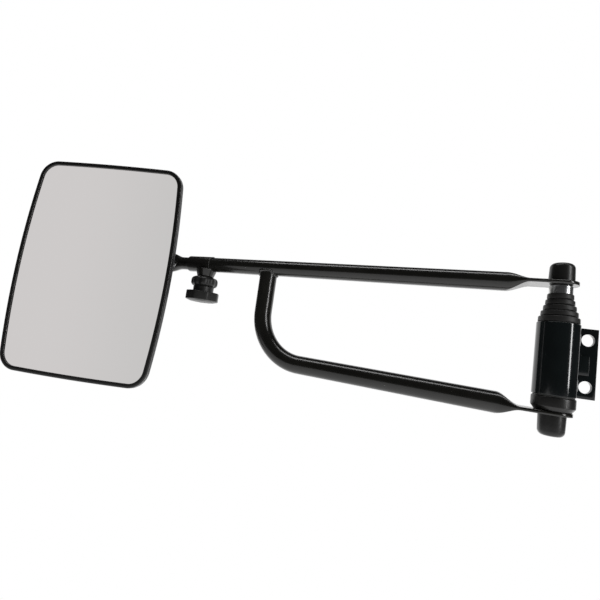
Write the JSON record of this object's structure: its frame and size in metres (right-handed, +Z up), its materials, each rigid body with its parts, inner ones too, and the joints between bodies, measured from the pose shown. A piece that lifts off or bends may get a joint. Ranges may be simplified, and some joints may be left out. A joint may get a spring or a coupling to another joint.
{
  "type": "towing mirror",
  "caption": "Telescopic twin-tube mirror arm on a friction hinge bracket, with a knob clamp and a ball-jointed rectangular mirror head.",
  "frame": {"origin": "middle of the two bolt holes, on the back face of the mounting plate", "axes": "+X towards the plate's free edge, with the arm reaching out along -X; +Y into the cab wall; +Z up along the hinge pivot"},
  "size_m": [0.6246, 0.136, 0.256],
  "materials": {
    "bracket_paint": "gloss black enamel",
    "arm_paint": "gloss black powder coat",
    "zinc_steel": "bright zinc plate",
    "spring_steel": "oiled steel",
    "brass": "turned",
    "nylon": "natural nylon",
    "black_plastic": "satin moulded",
    "knob_plastic": "satin moulded",
    "housing_plastic": "fine grained",
    "rubber": "dull moulded rubber",
    "rim_rubber": "satin rubber",
    "foam": "closed-cell foam tape",
    "mirror": "silvered glass"
  },
  "bodies": {
    "bracket": {"bracket_tube": "bracket_paint", "mounting_plate": "bracket_paint", "plate_pad": "bracket_paint", "plate_weld": "bracket_paint", "upper_bush": "nylon", "lower_bush": "nylon"},
    "arm": {"upper_tube": "arm_paint", "lower_tube": "arm_paint", "branch_weld": "arm_paint", "pivot_bolt": "zinc_steel", "pivot_nut": "zinc_steel", "pivot_washers": "zinc_steel", "spacer_sleeve": "zinc_steel", "sleeve_washer": "black_plastic", "pivot_spring": "spring_steel", "spring_seat": "spring_steel", "spring_collar": "spring_steel", "rubber_boot": "rubber", "wear_collar": "black_plastic", "top_cap": "black_plastic", "bottom_cap": "black_plastic", "clamp_boss": "arm_paint"},
    "clamp_pad": {"pressure_pad": "brass"},
    "knob": {"clamp_stud": "zinc_steel", "lock_ring": "knob_plastic", "clamp_knob": "knob_plastic"},
    "slider": {"inner_tube": "arm_paint", "inner_plug": "black_plastic", "ball_stud": "zinc_steel", "stud_nut": "zinc_steel", "stud_washers": "zinc_steel"},
    "seat": {"ball_seat": "nylon"},
    "head": {"housing": "housing_plastic", "socket_ring": "housing_plastic", "socket_screws": "zinc_steel", "glass_carrier": "black_plastic", "glass_pad": "foam", "mirror_glass": "mirror", "rim_seal": "rim_rubber"}
  },
  "joints": [
    {"name": "arm_swing", "type": "hinge", "parent": "bracket", "child": "arm", "pos_m": [-0.0295, -0.0175, 0], "axis": [0, 0, 1], "range_deg": [-60, 75]},
    {"name": "telescope", "type": "slide", "parent": "arm", "child": "slider", "axis": [-0.9781, 0.2079, 0], "range_m": [-0.01, 0.1]},
    {"name": "clamp_travel", "type": "slide", "parent": "arm", "child": "clamp_pad", "axis": [0, 0, -1], "range_m": [0, 0.0025]},
    {"name": "clamp_turn", "type": "hinge", "parent": "clamp_pad", "child": "knob", "pos_m": [-0.40804, 0.06296, 0.067], "axis": [0, 0, -1], "range_deg": [0, 720]},
    {"name": "head_swivel", "type": "hinge", "parent": "slider", "child": "seat", "pos_m": [-0.5244, 0.05907, 0.067], "axis": [0, 0, 1], "range_deg": [-40, 8]},
    {"name": "head_tilt", "type": "hinge", "parent": "seat", "child": "head", "pos_m": [-0.5244, 0.05907, 0.067], "axis": [0.9969, 0.0785, 0], "range_deg": [-15, 15]}
  ],
  "couplings": [
    {"joint": "clamp_turn", "follows": "clamp_travel", "rad_per_m": 5026.5}
  ]
}
